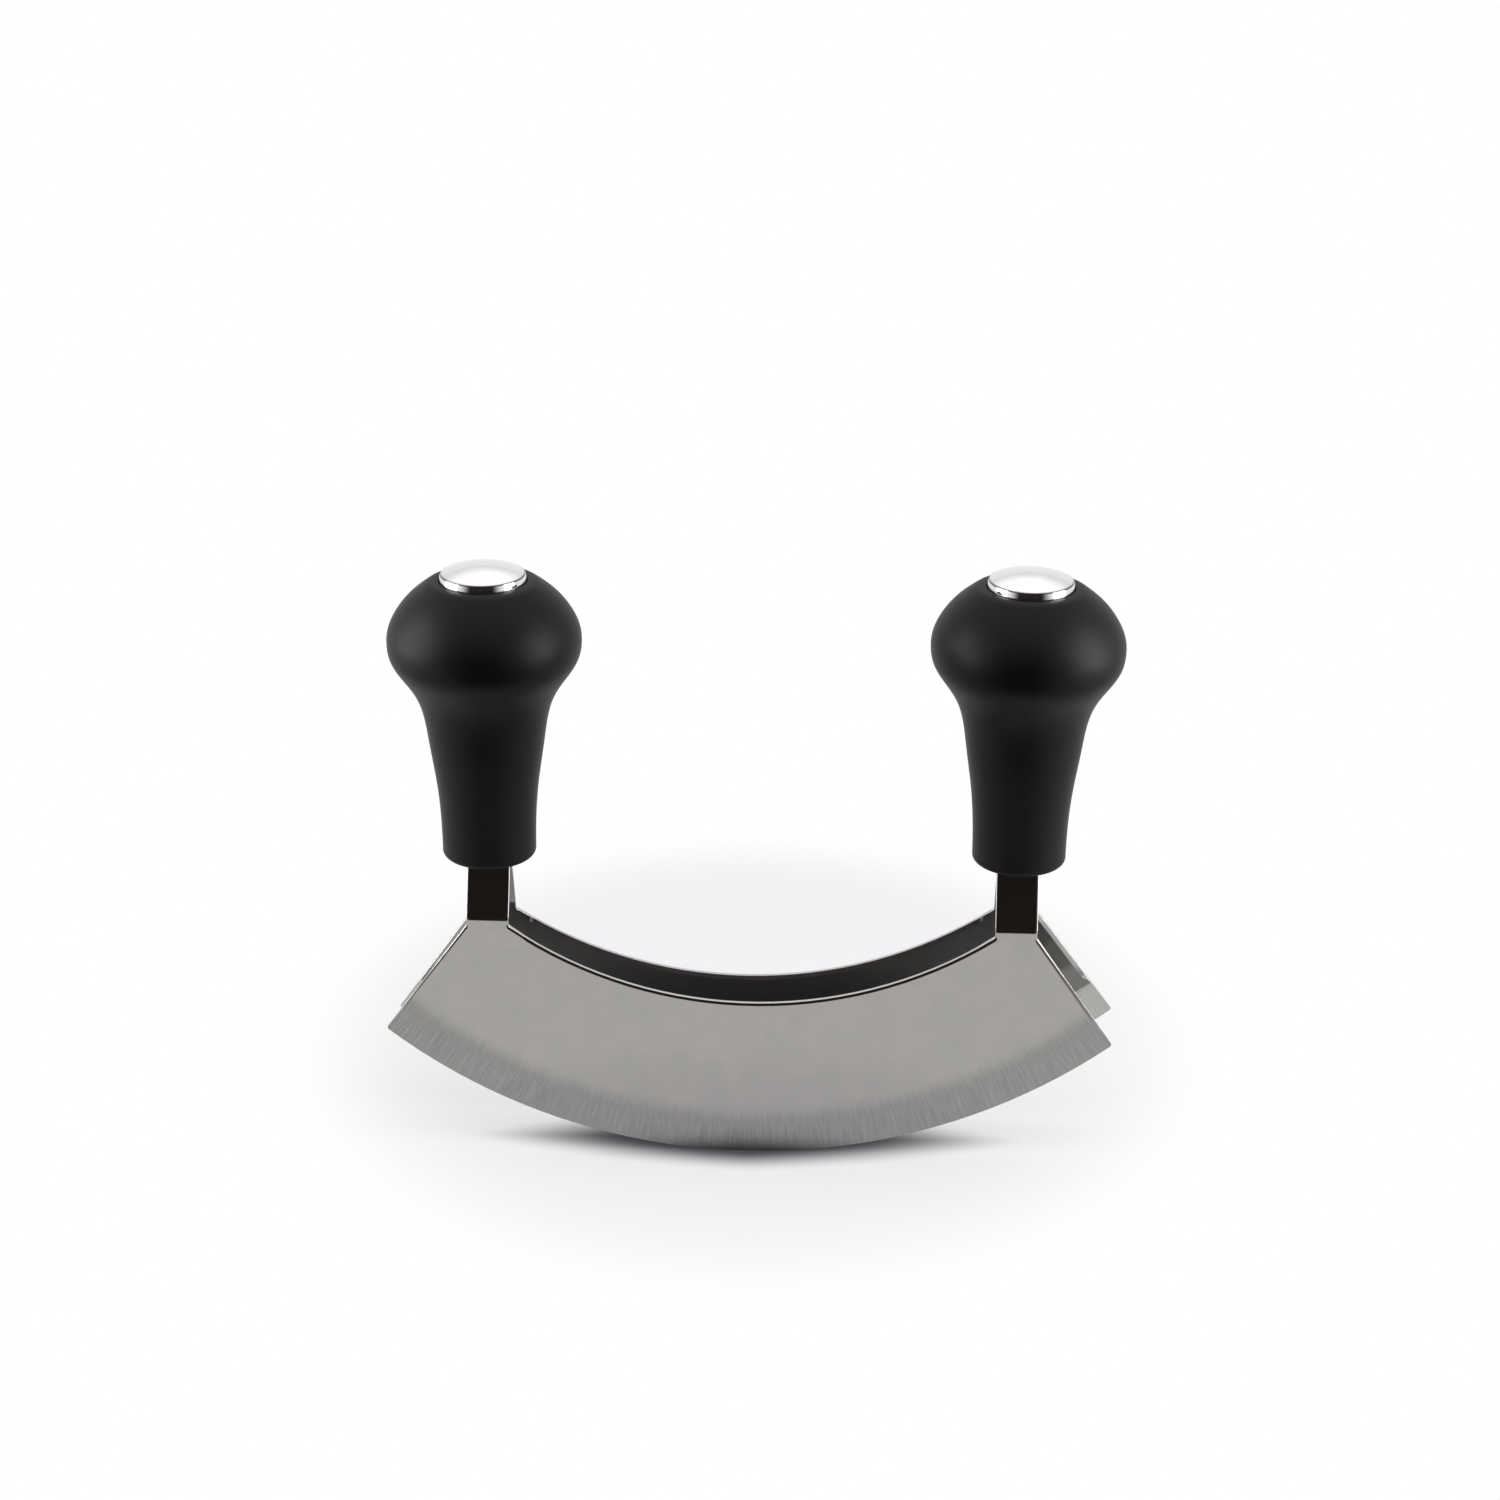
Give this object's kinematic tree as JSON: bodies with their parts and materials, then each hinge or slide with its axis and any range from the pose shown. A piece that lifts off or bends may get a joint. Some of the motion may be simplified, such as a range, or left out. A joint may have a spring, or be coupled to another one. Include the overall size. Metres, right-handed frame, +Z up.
{
  "type": "double-blade mezzaluna",
  "caption": "Rocking herb chopper: parallel crescent blades joined by leaning tangs inside upright soft-grip knob handles with domed steel caps.",
  "frame": {"origin": "on the board, midway between the two cutting edges and under the middle of the blades", "axes": "+X along the blades towards the right handle, +Y from the front blade to the rear blade, +Z up along the handles"},
  "size_m": [0.1806, 0.0464, 0.1514],
  "materials": {
    "blade_steel": "fine satin stainless sheet, with a ground band along the cutting edge",
    "soft_grip": "matte black soft-touch elastomer",
    "cap_steel": "polished stainless",
    "core_plastic": "moulded black plastic",
    "plated_steel": "zinc-plated"
  },
  "bodies": {
    "root": {"front_blade": "blade_steel", "rear_blade": "blade_steel", "left_grip": "soft_grip", "right_grip": "soft_grip", "left_cap": "cap_steel", "right_cap": "cap_steel", "left_core": "core_plastic", "right_core": "core_plastic", "left_yoke": "plated_steel", "right_yoke": "plated_steel", "left_lower_rivet": "plated_steel", "left_upper_rivet": "plated_steel", "right_lower_rivet": "plated_steel", "right_upper_rivet": "plated_steel", "left_screw": "plated_steel", "right_screw": "plated_steel", "left_washer": "plated_steel", "right_washer": "plated_steel"}
  },
  "joints": []
}
